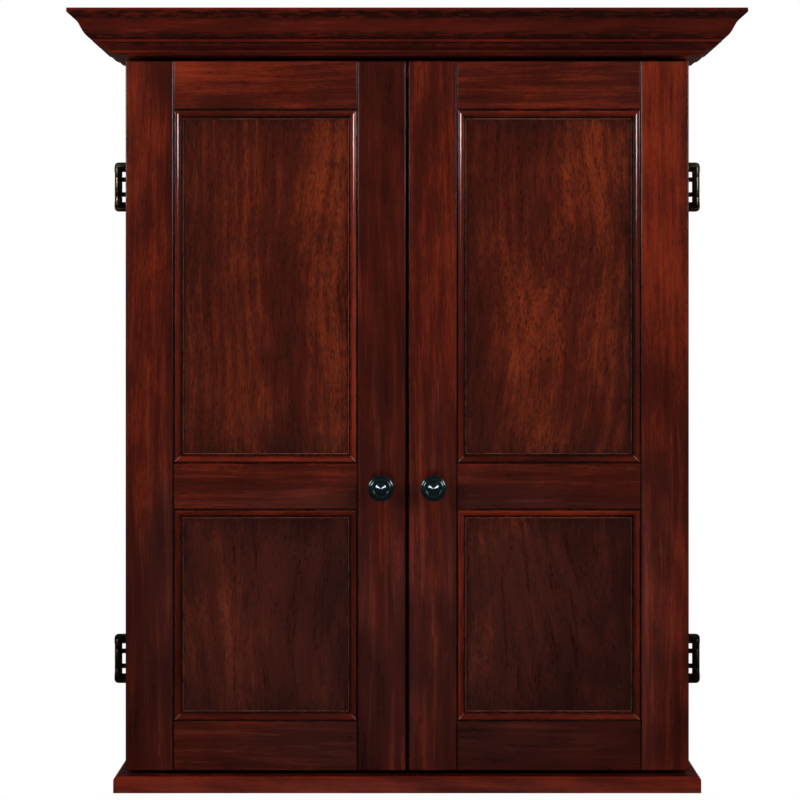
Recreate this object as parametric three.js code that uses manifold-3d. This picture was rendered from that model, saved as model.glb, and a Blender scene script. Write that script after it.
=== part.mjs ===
// Wall cabinet for a dart board: a shallow hardwood case with a crown, a base board and two
// frame-and-panel doors on outboard hinges.
// Millimetres, +Z up. The front faces -Y and the wall is the plane Y = 0. The origin is on the
// back face, behind the middle of the dart board.

import * as THREE from 'three';
import { mergeVertices } from 'three/addons/utils/BufferGeometryUtils.js';
import Module from 'manifold-3d';

const wasm = await Module();
wasm.setup();

// ---- Driving dimensions --------------------------------------------------------------------

const GAP = 0.3; // clearance between neighbouring pieces

const DOOR_HALF_WIDTH = 293; // from the centre line to the outer edge of a door
const DOOR_HEIGHT = 738.4;
const DOOR_THICK = 19;
const DOORS_APART = 3; // slot between the two doors
const OUTER_STILE = 49.7;
const INNER_STILE = 50.1;
const TOP_RAIL = 50.4;
const UPPER_OPENING = 368.2;
const MIDDLE_RAIL = 47.8;
const LOWER_OPENING = 220.5;
const EDGE_EASE = 0.8; // chamfer round the front face of each stile and rail
const TONGUE = 7; // how far panels and tenons enter the grooves
const PANEL_THICK = 6;
const PANEL_RECESS = 7; // from the door's face back to the panel
const BEAD_WIDTH = 9.6;

const CASE_DEPTH = 76;
const CASE_BOARD = 15; // thickness of sides, top and bottom
const BACK_THICK = 6;
const SEAM = 2.4; // from the case's front edges to the doors, filled by the hinge leaves

const CROWN_BOTTOM = 373.6;
const CROWN_HEIGHT = 43.2;
const CAP_THICK = 12;
const BASE_TOP = -372.9;
const BASE_THICK = 17.1;
const BASE_EASE = 4.3;
const BASE_SIDE_OVERHANG = 11.2;
const BASE_FRONT_OVERHANG = 12;

const HINGE_OUTBOARD = 9.9; // from the door's outer edge to the hinge pin
const HINGE_HALF_HEIGHT = 25.8;
const HINGE_LEAF_THICK = 1.8;
const KNUCKLE_RADIUS = 4;
const PIN_RADIUS = 1.5;
const PIN_CLEARANCE = 0.1;
const HINGE_HEIGHTS = { upper: 239.1, lower: -255.5 }; // Z of each hinge's middle

const KNOB_RADIUS = 13.6;
const KNOB_DROP = 0.9; // how far the knobs sit below the middle rail's centre
const KNOB_FROM_CENTRE = 27.2;

const BATTEN_HALF_HEIGHT = 45;
const BATTEN_THICK = 12;
const HANGING_RAIL_HEIGHT = 48;
const HANGING_RAIL_THICK = 18;
const WALL_SCREW_X = 203.2; // half of a 16 inch stud spacing
const WALL_SCREW_RADIUS = 3.5;

const RACK_INNER_X = 92;
const RACK_OUTER_X = 228;
const RACK_LEDGE_TOP = -304;
const RACK_HOLE_RADIUS = 4.5;
const RACK_HOLE_COUNT = 3;

// ---- Worked out from them ------------------------------------------------------------------

const DOOR_TOP = DOOR_HEIGHT / 2;
const DOOR_BOTTOM = -DOOR_TOP;
const TOP_RAIL_BOTTOM = DOOR_TOP - TOP_RAIL;
const MIDDLE_RAIL_TOP = TOP_RAIL_BOTTOM - UPPER_OPENING;
const MIDDLE_RAIL_BOTTOM = MIDDLE_RAIL_TOP - MIDDLE_RAIL;
const BOTTOM_RAIL_TOP = MIDDLE_RAIL_BOTTOM - LOWER_OPENING;
const DOOR_BACK_Y = -(CASE_DEPTH + SEAM);
const DOOR_FRONT_Y = DOOR_BACK_Y - DOOR_THICK;
const INNER_EDGE_X = DOORS_APART / 2;
const OPENING_INNER_X = INNER_EDGE_X + INNER_STILE;
const OPENING_OUTER_X = DOOR_HALF_WIDTH - OUTER_STILE;
const PANEL_FRONT_Y = DOOR_FRONT_Y + PANEL_RECESS;
const PANEL_BACK_Y = PANEL_FRONT_Y + PANEL_THICK;
const CASE_INNER_X = DOOR_HALF_WIDTH - CASE_BOARD;
const CASE_BOTTOM_Z = BASE_TOP + GAP;
const CROWN_TOP = CROWN_BOTTOM + CROWN_HEIGHT;
const CASE_TOP_Z = CROWN_TOP - CAP_THICK - GAP;
const CEILING_Z = DOOR_TOP - CASE_BOARD; // underside of the top board
const FLOOR_Z = CASE_BOTTOM_Z + CASE_BOARD; // upper face of the bottom board
const HINGE_X = DOOR_HALF_WIDTH + HINGE_OUTBOARD;
const HINGE_Y = -(CASE_DEPTH + SEAM / 2);
const KNOB_Z = (MIDDLE_RAIL_TOP + MIDDLE_RAIL_BOTTOM) / 2 - KNOB_DROP;
const BATTEN_FRONT_Y = -(BACK_THICK + GAP + BATTEN_THICK);

// ---- Materials -----------------------------------------------------------------------------

const finish = (color, roughness, metalness = 0) =>
  new THREE.MeshStandardMaterial({ color, roughness, metalness });

const WOOD = finish(0x52190f, 0.3);
const PANEL_WOOD = finish(0x4a1e15, 0.32);
const CASE_WOOD = finish(0x4b170e, 0.4);
const BRONZE = finish(0x17130f, 0.3, 1);
const STEEL = finish(0x8d8c88, 0.4, 1);
const CHALK_BLACK = finish(0x1b1d1c, 0.85);
const BROWN_PLASTIC = finish(0x2b1c14, 0.55);

// ---- Shape tools ---------------------------------------------------------------------------

// Joins equal corners, drops slivers with two equal corners and turns the faces outwards.
function closed(geometry) {
  const bare = geometry.clone();
  bare.deleteAttribute('normal');
  bare.deleteAttribute('uv');
  const merged = mergeVertices(bare, 1e-5);
  const at = merged.attributes.position;
  const source = merged.index.array;
  const kept = [];
  const a = new THREE.Vector3();
  const b = new THREE.Vector3();
  const c = new THREE.Vector3();
  let volume = 0;
  for (let i = 0; i < source.length; i += 3) {
    const [p, q, r] = [source[i], source[i + 1], source[i + 2]];
    if (p === q || q === r || r === p) continue;
    kept.push(p, q, r);
    a.fromBufferAttribute(at, p);
    b.fromBufferAttribute(at, q);
    c.fromBufferAttribute(at, r);
    volume += a.dot(b.cross(c));
  }
  merged.setIndex(volume < 0 ? kept.reverse() : kept);
  return merged;
}

function solidOf(geometry) {
  const mesh = closed(geometry);
  const vertProperties = new Float32Array(mesh.attributes.position.array);
  const triVerts = new Uint32Array(mesh.index.array);
  return new wasm.Manifold(new wasm.Mesh({ numProp: 3, vertProperties, triVerts }));
}

function geometryOf(solid) {
  const mesh = solid.getMesh();
  const geometry = new THREE.BufferGeometry();
  const corners = new THREE.BufferAttribute(new Float32Array(mesh.vertProperties), 3);
  geometry.setAttribute('position', corners);
  geometry.setIndex(Array.from(mesh.triVerts));
  return geometry;
}

// Joins the pieces of the first list, then cuts away the pieces of the second.
function joinAndCut(joined, removed = []) {
  let solid = solidOf(joined[0]);
  for (const piece of joined.slice(1)) solid = solid.add(solidOf(piece));
  for (const piece of removed) solid = solid.subtract(solidOf(piece));
  return geometryOf(solid);
}

// A plain box between two X, two Y and two Z values.
function box([x0, x1], [y0, y1], [z0, z1]) {
  const size = [Math.abs(x1 - x0), Math.abs(y1 - y0), Math.abs(z1 - z0)];
  const geometry = new THREE.BoxGeometry(...size);
  return geometry.translate((x0 + x1) / 2, (y0 + y1) / 2, (z0 + z1) / 2);
}

// Joins rings of equally many points into one closed skin. An open row of rings gets a cap at
// each end, triangulated on the flat outline; a closed row meets itself.
function skin(rings, outline, meets = false) {
  const count = outline.length;
  const positions = rings.flat().flatMap((point) => [point.x, point.y, point.z]);
  const indices = [];
  const last = meets ? rings.length : rings.length - 1;
  for (let ring = 0; ring < last; ring += 1) {
    const here = ring * count;
    const next = ((ring + 1) % rings.length) * count;
    for (let i = 0; i < count; i += 1) {
      const j = (i + 1) % count;
      indices.push(here + i, next + i, next + j);
      indices.push(here + i, next + j, here + j);
    }
  }
  if (!meets) {
    const end = (rings.length - 1) * count;
    const backwards = THREE.ShapeUtils.isClockWise(outline);
    for (const corners of THREE.ShapeUtils.triangulateShape(outline, [])) {
      const [p, q, r] = backwards ? corners.reverse() : corners;
      indices.push(p, q, r);
      indices.push(end + r, end + q, end + p);
    }
  }
  const geometry = new THREE.BufferGeometry();
  geometry.setAttribute('position', new THREE.Float32BufferAttribute(positions, 3));
  geometry.setIndex(indices);
  return closed(geometry);
}

// A door-frame board whose front face, towards -Y, has a small chamfer on all four edges.
function easedBoard([x0, x1], [z0, z1]) {
  const levels = [
    [DOOR_BACK_Y, 0],
    [DOOR_FRONT_Y + EDGE_EASE, 0],
    [DOOR_FRONT_Y, EDGE_EASE],
  ];
  const outline = [
    new THREE.Vector2(x0, z0),
    new THREE.Vector2(x1, z0),
    new THREE.Vector2(x1, z1),
    new THREE.Vector2(x0, z1),
  ];
  const middle = new THREE.Vector2((x0 + x1) / 2, (z0 + z1) / 2);
  const rings = levels.map(([y, inset]) =>
    outline.map((corner) => {
      const x = corner.x - Math.sign(corner.x - middle.x) * inset;
      const z = corner.y - Math.sign(corner.y - middle.y) * inset;
      return new THREE.Vector3(x, y, z);
    }),
  );
  return skin(rings, outline);
}

// A round bar along Z.
function upright(radius, [z0, z1], x, y, sides = 24) {
  const bar = new THREE.CylinderGeometry(radius, radius, z1 - z0, sides);
  bar.rotateX(Math.PI / 2);
  return bar.translate(x, y, (z0 + z1) / 2);
}

// A round bar along Y.
function level(radius, [y0, y1], x, z, sides = 24) {
  const bar = new THREE.CylinderGeometry(radius, radius, Math.abs(y1 - y0), sides);
  return bar.translate(x, (y0 + y1) / 2, z);
}

// A flat plate in the XZ plane, from y0 towards -Y.
function plate(shape, y0, thick) {
  const geometry = new THREE.ExtrudeGeometry(shape, {
    depth: thick,
    bevelEnabled: false,
    curveSegments: 6,
  });
  return geometry.rotateX(Math.PI / 2).translate(0, y0, 0);
}

// ---- The cabinet's list of pieces ----------------------------------------------------------

const group = new THREE.Group();

function add(name, geometry, material) {
  const mesh = new THREE.Mesh(closed(geometry), material);
  mesh.name = name;
  group.add(mesh);
}

// ---- Case ----------------------------------------------------------------------------------

function addCase() {
  const insideX = [-(CASE_INNER_X - GAP), CASE_INNER_X - GAP];
  const depth = [-CASE_DEPTH, 0];
  const inFrontOfBack = [-CASE_DEPTH, -(BACK_THICK + GAP)];
  for (const [side, sign] of [['left', -1], ['right', 1]]) {
    const across = [sign * CASE_INNER_X, sign * DOOR_HALF_WIDTH];
    add(`${side}_side`, box(across, depth, [CASE_BOTTOM_Z, CASE_TOP_Z]), CASE_WOOD);
  }
  add('top_board', box(insideX, inFrontOfBack, [CEILING_Z, DOOR_TOP]), CASE_WOOD);
  add('bottom_board', box(insideX, inFrontOfBack, [CASE_BOTTOM_Z, FLOOR_Z]), CASE_WOOD);

  const wallHoles = [-WALL_SCREW_X, WALL_SCREW_X].map((x) =>
    level(WALL_SCREW_RADIUS, [-60, 10], x, CEILING_Z - HANGING_RAIL_HEIGHT / 2),
  );
  const back = box(insideX, [-BACK_THICK, 0], [CASE_BOTTOM_Z, CASE_TOP_Z]);
  add('back_panel', joinAndCut([back], wallHoles), CASE_WOOD);

  const railY = [-(BACK_THICK + GAP + HANGING_RAIL_THICK), -(BACK_THICK + GAP)];
  const railZ = [CEILING_Z - HANGING_RAIL_HEIGHT, CEILING_Z - GAP];
  const rail = box([insideX[0] + GAP, insideX[1] - GAP], railY, railZ);
  add('hanging_rail', joinAndCut([rail], wallHoles), CASE_WOOD);

  const battenZ = [-BATTEN_HALF_HEIGHT, BATTEN_HALF_HEIGHT];
  const battenY = [BATTEN_FRONT_Y, -(BACK_THICK + GAP)];
  add('board_batten', box(insideX, battenY, battenZ), CASE_WOOD);
}

// ---- Crown and base ------------------------------------------------------------------------

// The moulding's section: first value outwards from the case, second value upwards.
function crownOutline() {
  const shape = new THREE.Shape();
  shape.moveTo(0, 0);
  shape.lineTo(9.6, 0);
  shape.lineTo(9.6, 1.0);
  shape.lineTo(15.4, 2.4);
  shape.lineTo(15.4, 4.9); // lower fillet
  shape.lineTo(18.6, 5.3);
  shape.quadraticCurveTo(24.2, 6.4, 26.2, 11.2); // cove
  shape.lineTo(29.4, 11.6);
  shape.lineTo(29.4, 14.2); // middle fillet
  shape.bezierCurveTo(36.2, 15.2, 39.2, 22.4, 41.8, 27.6); // belly
  shape.bezierCurveTo(43.9, 31.8, 48.4, 34.8, 51.8, 38.6); // hollow above it
  shape.lineTo(53, 38.9);
  shape.lineTo(53, CROWN_HEIGHT); // top fillet
  shape.lineTo(0, CROWN_HEIGHT);
  const points = shape.getPoints(7);
  return points.filter((point, i) => i === 0 || point.distanceTo(points[i - 1]) > 0.01);
}

function addCrown() {
  const outline = crownOutline();
  const outX = DOOR_HALF_WIDTH + GAP;
  const outY = DOOR_FRONT_Y - GAP;
  const mitre = 0.2; // each piece stops this far short of the corner's diagonal
  const frontRing = (sign) =>
    outline.map(({ x: out, y: up }) => {
      return new THREE.Vector3(sign * (outX + out - mitre), outY - out, CROWN_BOTTOM + up);
    });
  add('crown_front', skin([frontRing(-1), frontRing(1)], outline), WOOD);
  for (const [side, sign] of [['left', -1], ['right', 1]]) {
    const ring = (yOf) =>
      outline.map(({ x: out, y: up }) => {
        return new THREE.Vector3(sign * (outX + out), yOf(out), CROWN_BOTTOM + up);
      });
    const rings = [ring(() => 0), ring((out) => outY - out + mitre)];
    add(`crown_${side}`, skin(rings, outline), WOOD);
  }
  const headY = [DOOR_FRONT_Y, -(CASE_DEPTH + GAP)];
  const across = [-DOOR_HALF_WIDTH, DOOR_HALF_WIDTH];
  add('head_rail', box(across, headY, [CROWN_BOTTOM, CASE_TOP_Z]), CASE_WOOD);
  add('top_cap', box(across, [DOOR_FRONT_Y, 0], [CASE_TOP_Z + GAP, CROWN_TOP]), CASE_WOOD);
}

// A board whose top edge is rounded over at the front and at both ends.
function addBase() {
  const halfWidth = DOOR_HALF_WIDTH + BASE_SIDE_OVERHANG;
  const front = DOOR_FRONT_Y - BASE_FRONT_OVERHANG;
  const levels = [[BASE_TOP - BASE_THICK, 0]];
  const steps = 4;
  for (let step = 0; step <= steps; step += 1) {
    const turn = ((step / steps) * Math.PI) / 2;
    const inset = BASE_EASE * (1 - Math.cos(turn));
    levels.push([BASE_TOP - BASE_EASE * (1 - Math.sin(turn)), inset]);
  }
  const outline = [
    new THREE.Vector2(-1, 0),
    new THREE.Vector2(1, 0),
    new THREE.Vector2(1, 1),
    new THREE.Vector2(-1, 1),
  ];
  const rings = levels.map(([z, inset]) =>
    outline.map(({ x: side, y: forward }) => {
      return new THREE.Vector3(side * (halfWidth - inset), forward * (front + inset), z);
    }),
  );
  add('base_board', skin(rings, outline), WOOD);
}

// ---- Doors ---------------------------------------------------------------------------------

// The bead's section: first value inwards from the frame's edge, second value down from the
// door's face.
const BEAD_OUTLINE = [
  [0, 1.5],
  [0.9, 1.6],
  [1.3, 0.7],
  [1.9, 0.55],
  [3.6, 0.95],
  [5.4, 2.1],
  [6.7, 3.6],
  [7.5, 5],
  [7.8, 6.2],
  [BEAD_WIDTH, 6.1],
  [BEAD_WIDTH, PANEL_RECESS - GAP],
  [0, PANEL_RECESS - GAP],
];

// Four mitred lengths of bead, joined into one frame round an opening.
function beadFrame([xLow, xHigh], [zLow, zHigh]) {
  const outline = BEAD_OUTLINE.map(([inwards, down]) => new THREE.Vector2(inwards, down));
  const corners = [[-1, -1], [1, -1], [1, 1], [-1, 1]];
  const rings = corners.map(([sx, sz]) =>
    outline.map(({ x: inwards, y: down }) => {
      const edgeX = sx < 0 ? xLow + GAP : xHigh - GAP;
      const edgeZ = sz < 0 ? zLow + GAP : zHigh - GAP;
      return new THREE.Vector3(edgeX - sx * inwards, DOOR_FRONT_Y + down, edgeZ - sz * inwards);
    }),
  );
  return skin(rings, outline, true);
}

// A groove or a tenon in the middle of the door's thickness.
function tongue([x0, x1], [z0, z1], slack) {
  return box([x0, x1], [PANEL_FRONT_Y - slack, PANEL_BACK_Y + slack], [z0, z1]);
}

function addStiles(side, sign, knobHole) {
  const height = [DOOR_BOTTOM, DOOR_TOP];
  const groove = TONGUE + 2 * GAP;
  const outerX = [sign * OPENING_OUTER_X, sign * DOOR_HALF_WIDTH];
  const outerGroove = tongue([outerX[0], outerX[0] + sign * groove], [-400, 400], GAP);
  add(`${side}_outer_stile`, joinAndCut([easedBoard(outerX, height)], [outerGroove]), WOOD);
  const innerX = [sign * INNER_EDGE_X, sign * OPENING_INNER_X];
  const innerGroove = tongue([innerX[1] - sign * groove, innerX[1]], [-400, 400], GAP);
  const innerStile = joinAndCut([easedBoard(innerX, height)], [innerGroove, knobHole]);
  add(`${side}_inner_stile`, innerStile, WOOD);
}

function addRails(side, sign) {
  const acrossX = [sign * (OPENING_INNER_X + GAP), sign * (OPENING_OUTER_X - GAP)];
  const tenonX = [acrossX[0] - sign * TONGUE, acrossX[1] + sign * TONGUE];
  const grooveX = [sign * OPENING_INNER_X - sign * 20, sign * OPENING_OUTER_X + sign * 20];
  const groove = TONGUE + 2 * GAP;
  const rails = {
    top: [TOP_RAIL_BOTTOM, DOOR_TOP],
    middle: [MIDDLE_RAIL_BOTTOM, MIDDLE_RAIL_TOP],
    bottom: [DOOR_BOTTOM, BOTTOM_RAIL_TOP],
  };
  for (const [place, [low, high]] of Object.entries(rails)) {
    const cuts = [];
    if (place !== 'bottom') cuts.push(tongue(grooveX, [low, low + groove], GAP));
    if (place !== 'top') cuts.push(tongue(grooveX, [high - groove, high], GAP));
    const tenon = tongue(tenonX, [low + GAP, high - GAP], 0);
    const rail = joinAndCut([easedBoard(acrossX, [low, high]), tenon], cuts);
    add(`${side}_${place}_rail`, rail, WOOD);
  }
}

function addPanels(side, sign) {
  const openings = {
    upper: [MIDDLE_RAIL_TOP, TOP_RAIL_BOTTOM],
    lower: [BOTTOM_RAIL_TOP, MIDDLE_RAIL_BOTTOM],
  };
  const acrossX = [sign * (OPENING_INNER_X - TONGUE), sign * (OPENING_OUTER_X + TONGUE)];
  const edgesX = [sign * OPENING_INNER_X, sign * OPENING_OUTER_X].sort((a, b) => a - b);
  for (const [place, [low, high]] of Object.entries(openings)) {
    const panel = tongue(acrossX, [low - TONGUE, high + TONGUE], 0);
    add(`${side}_${place}_panel`, panel, PANEL_WOOD);
    add(`${side}_${place}_bead`, beadFrame(edgesX, [low, high]), WOOD);
  }
}

// Turned knob: first value radius, second value out from the door's face.
const KNOB_OUTLINE = [
  [0, 0],
  [8, 0],
  [8.6, 0.8],
  [8, 2],
  [5.2, 4],
  [4.9, 8.5],
  [6.6, 11.5],
  [11.2, 13.6],
  [13, 14.6],
  [KNOB_RADIUS, 15.9],
  [13.2, 17],
  [12.4, 17.7],
  [11.7, 17.7],
  [10.9, 18.6],
  [9.8, 19.2],
  [7.8, 19.2],
  [7.1, 18.7],
  [6.4, 19.5],
  [5.4, 20.4],
  [3, 21.7],
  [0, 23.2],
];

function addKnob(side, sign, hole) {
  const profile = KNOB_OUTLINE.map(([radius, out]) => new THREE.Vector2(radius, -out));
  const knobX = sign * KNOB_FROM_CENTRE;
  const turned = new THREE.LatheGeometry(profile, 32);
  turned.translate(knobX, DOOR_FRONT_Y - GAP, KNOB_Z);
  add(`${side}_knob`, joinAndCut([turned], [hole]), BRONZE);

  const tip = DOOR_FRONT_Y - GAP - 8.5;
  const shank = level(2, [tip, DOOR_BACK_Y + 1], knobX, KNOB_Z, 16);
  const headRadius = 4.2;
  const head = level(headRadius, [DOOR_BACK_Y + GAP, DOOR_BACK_Y + GAP + 2.2], knobX, KNOB_Z);
  add(`${side}_knob_screw`, joinAndCut([shank, head]), STEEL);
}

// A thin chalk slate glued to the back of the upper panel.
function addScoreboard(side, sign) {
  const margin = 1;
  const acrossX = [sign * (OPENING_INNER_X + margin), sign * (OPENING_OUTER_X - margin)];
  const upZ = [MIDDLE_RAIL_TOP + margin, TOP_RAIL_BOTTOM - margin];
  const slateThick = 3;
  const slateY = [PANEL_BACK_Y + GAP, PANEL_BACK_Y + GAP + slateThick];
  add(`${side}_scoreboard`, box(acrossX, slateY, upZ), CHALK_BLACK);
}

// A ledge with holes that darts stand in, on a back plate screwed to the bottom rail.
function addDartRack(side, sign) {
  const ledgeThick = 10;
  const ledgeDeep = 34;
  const plateThick = 7;
  const plateLow = FLOOR_Z + 4;
  const backY = DOOR_BACK_Y + GAP;
  const acrossX = [sign * RACK_INNER_X, sign * RACK_OUTER_X];
  const ledgeZ = [RACK_LEDGE_TOP - ledgeThick, RACK_LEDGE_TOP];
  const ledge = box(acrossX, [backY, backY + ledgeDeep], ledgeZ);
  const backPlate = box(acrossX, [backY, backY + plateThick], [plateLow, ledgeZ[0] + 1]);
  const holes = [];
  const pitch = (RACK_OUTER_X - RACK_INNER_X) / RACK_HOLE_COUNT;
  for (let i = 0; i < RACK_HOLE_COUNT; i += 1) {
    const x = sign * (RACK_INNER_X + pitch * (i + 0.5));
    const y = backY + (plateThick + ledgeDeep) / 2;
    holes.push(upright(RACK_HOLE_RADIUS, [ledgeZ[0] - 2, ledgeZ[1] + 2], x, y));
  }
  add(`${side}_dart_rack`, joinAndCut([ledge, backPlate], holes), WOOD);
}

// ---- Hinges --------------------------------------------------------------------------------

// A rectangle with rounded corners, from the hinge pin inwards.
function leafShape(sign, [u0, u1], [v0, v1], radius) {
  const shape = new THREE.Shape();
  const x = (u) => sign * (HINGE_X - u);
  shape.moveTo(x(u0 + radius), v0);
  shape.lineTo(x(u1 - radius), v0);
  shape.quadraticCurveTo(x(u1), v0, x(u1), v0 + radius);
  shape.lineTo(x(u1), v1 - radius);
  shape.quadraticCurveTo(x(u1), v1, x(u1 - radius), v1);
  shape.lineTo(x(u0 + radius), v1);
  shape.quadraticCurveTo(x(u0), v1, x(u0), v1 - radius);
  shape.lineTo(x(u0), v0 + radius);
  shape.quadraticCurveTo(x(u0), v0, x(u0 + radius), v0);
  return shape;
}

// One non-mortise hinge: the case leaf nests in a window of the door leaf, in the seam.
function addHinge(side, sign, place, middle) {
  const leafY = HINGE_Y + HINGE_LEAF_THICK / 2;
  const armLow = 15.8; // the door leaf's arms run from here to the hinge's ends
  const nested = 14.9; // half height of the case leaf
  const centreKnuckle = 10.25;
  const barrel = 20.2;
  const windowWidth = 23.3;
  const doorLeafWidth = 30;
  const caseLeafWidth = 22.3;
  const at = (low, high) => [middle + low, middle + high];
  const cut = (u, v) => box([sign * (HINGE_X - u[0]), sign * (HINGE_X - u[1])], [-90, -60], v);
  const knuckle = (low, high) => upright(KNUCKLE_RADIUS, at(low, high), sign * HINGE_X, HINGE_Y);
  const bore = upright(PIN_RADIUS + PIN_CLEARANCE, at(-barrel - 0.1, barrel + 0.1),
    sign * HINGE_X, HINGE_Y);

  const whole = at(-HINGE_HALF_HEIGHT, HINGE_HALF_HEIGHT);
  const doorPlate = plate(
    leafShape(sign, [-KNUCKLE_RADIUS - 0.2, doorLeafWidth], whole, 5), leafY, HINGE_LEAF_THICK);
  const window = cut([-10, windowWidth], at(-armLow, armLow));
  const doorLeafPlate = joinAndCut([doorPlate], [window]);
  const ends = [knuckle(centreKnuckle + GAP, barrel), knuckle(-barrel, -centreKnuckle - GAP)];
  add(`${side}_${place}_hinge_door_leaf`, joinAndCut([doorLeafPlate, ...ends], [bore]), BRONZE);

  const casePlate = plate(
    leafShape(sign, [0, caseLeafWidth], at(-nested, nested), 1.5), leafY, HINGE_LEAF_THICK);
  const armTop = centreKnuckle;
  const armBottom = 5.4;
  const bodyFrom = 8.8;
  const notches = [
    cut([-1, bodyFrom], at(armTop, nested + 1)),
    cut([-1, bodyFrom], at(-armBottom, armBottom)),
    cut([-1, bodyFrom], at(-nested - 1, -armTop)),
  ];
  const arms = joinAndCut([casePlate], notches);
  const caseLeaf = joinAndCut([arms, knuckle(-centreKnuckle, centreKnuckle)], [bore]);
  add(`${side}_${place}_hinge_case_leaf`, caseLeaf, BRONZE);

  const pin = upright(PIN_RADIUS, at(-barrel + 0.2, barrel - 0.2), sign * HINGE_X, HINGE_Y);
  add(`${side}_${place}_hinge_pin`, pin, BRONZE);
}

// ---- Fittings inside -----------------------------------------------------------------------

// Magnetic catch under the top board, and the steel strike that it holds on the door.
function addCatch(side, sign) {
  const catchX = [sign * 10, sign * 46];
  const catchHeight = 12;
  const catchZ = [CEILING_Z - GAP - catchHeight, CEILING_Z - GAP];
  const body = box(catchX, [-CASE_DEPTH + 1, -58], catchZ);
  const ear = box([sign * 4, sign * 52], [-72, -61], [catchZ[1] - 2, catchZ[1]]);
  add(`${side}_magnet_catch`, joinAndCut([body, ear]), BROWN_PLASTIC);
  const strikeThick = 1.2;
  const strikeY = [DOOR_BACK_Y + GAP, DOOR_BACK_Y + GAP + strikeThick];
  const strike = box([sign * 14, sign * 42], strikeY, catchZ);
  add(`${side}_strike_plate`, strike, STEEL);
}

// Pressed steel hook that the screw in the back of the board drops into.
function addBoardBracket() {
  const sheet = 2;
  const halfHeight = 34;
  const footX = [23, 44];
  const footY = [BATTEN_FRONT_Y - GAP - sheet, BATTEN_FRONT_Y - GAP];
  const faceY = [BATTEN_FRONT_Y - GAP - 9, BATTEN_FRONT_Y - GAP - 9 + sheet];
  const upZ = [-halfHeight, halfHeight];
  const slotRadius = 4.3;
  const pieces = [box([-footX[0] - sheet, footX[0] + sheet], faceY, upZ)];
  for (const sign of [-1, 1]) {
    pieces.push(box([sign * footX[0], sign * footX[1]], footY, upZ));
    pieces.push(box([sign * footX[0], sign * (footX[0] + sheet)], [faceY[0], footY[1]], upZ));
  }
  const slotY = [faceY[0] - 1, faceY[1] + 1];
  const slot = box([-slotRadius, slotRadius], slotY, [0, halfHeight + 1]);
  const slotEnd = level(slotRadius, slotY, 0, 0);
  add('board_bracket', joinAndCut(pieces, [slot, slotEnd]), STEEL);
}

// ---- Assembly ------------------------------------------------------------------------------

addCase();
addCrown();
addBase();
addBoardBracket();
for (const [side, sign] of [['left', -1], ['right', 1]]) {
  const holeY = [DOOR_FRONT_Y - GAP - 9, 0];
  const knobHole = level(2.3, holeY, sign * KNOB_FROM_CENTRE, KNOB_Z, 16);
  addStiles(side, sign, knobHole);
  addRails(side, sign);
  addPanels(side, sign);
  addKnob(side, sign, knobHole);
  addScoreboard(side, sign);
  addDartRack(side, sign);
  addCatch(side, sign);
  for (const [place, middle] of Object.entries(HINGE_HEIGHTS)) {
    addHinge(side, sign, place, middle);
  }
}

export default group;
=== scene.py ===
# The look of a mahogany-stained wall cabinet for a dart board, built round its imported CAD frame.
# Metres, +Z up. The front faces -Y and the wall is the plane Y = 0.

import math
import random

import bmesh
import bpy
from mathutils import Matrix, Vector


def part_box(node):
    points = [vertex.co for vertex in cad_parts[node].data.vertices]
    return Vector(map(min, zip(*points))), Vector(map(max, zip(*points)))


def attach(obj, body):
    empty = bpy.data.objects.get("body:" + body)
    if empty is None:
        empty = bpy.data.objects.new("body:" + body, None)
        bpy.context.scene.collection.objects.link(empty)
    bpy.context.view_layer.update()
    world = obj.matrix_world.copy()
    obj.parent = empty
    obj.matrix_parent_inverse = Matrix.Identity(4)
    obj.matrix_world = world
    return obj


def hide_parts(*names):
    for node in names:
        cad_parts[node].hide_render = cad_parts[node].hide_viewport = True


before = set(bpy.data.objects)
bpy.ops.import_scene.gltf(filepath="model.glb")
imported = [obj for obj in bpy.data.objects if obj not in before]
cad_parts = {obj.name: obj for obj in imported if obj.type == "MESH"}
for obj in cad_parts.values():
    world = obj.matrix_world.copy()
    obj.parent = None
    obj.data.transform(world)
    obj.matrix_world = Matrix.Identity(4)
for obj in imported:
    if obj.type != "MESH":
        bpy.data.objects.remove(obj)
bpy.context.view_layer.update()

MM = 0.001
X, Y, Z = 0, 1, 2
SIDES = {"left": -1, "right": 1}

# Sizes that the crown and the beads share with the CAD frame, in mm.
CROWN_PROJECTION = 53
CROWN_HEIGHT = 43.2
BEAD_WIDTH = 9.6


# ---- Camera ----------------------------------------------------------------------------------

def add_camera():
    """A long lens straight in front of the doors, a little above the middle of the cabinet."""
    door_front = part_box("left_outer_stile")[0].y
    distance = 2.2
    image = 800
    metres_per_image = 1.04 * MM * image  # what the image spans at the doors' face
    sensor = 36.0
    data = bpy.data.cameras.new("camera")
    data.sensor_width = sensor
    data.lens = sensor * distance / metres_per_image
    data.shift_x = -7.2 / image
    data.shift_y = -80 / image
    data.clip_start = 0.05
    data.clip_end = 50
    camera = bpy.data.objects.new("camera", data)
    camera.location = (0, door_front - distance, 99.6 * MM)
    camera.rotation_euler = (math.radians(90), 0, 0)
    bpy.context.scene.collection.objects.link(camera)
    bpy.context.scene.camera = camera


# ---- Nodes and colours -----------------------------------------------------------------------

def linear(hex_code, alpha=1.0):
    """An sRGB hex colour as linear values."""
    channels = [int(hex_code[i:i + 2], 16) / 255 for i in (1, 3, 5)]
    bright = [c / 12.92 if c <= 0.04045 else ((c + 0.055) / 1.055) ** 2.4 for c in channels]
    return (*bright, alpha)


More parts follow.
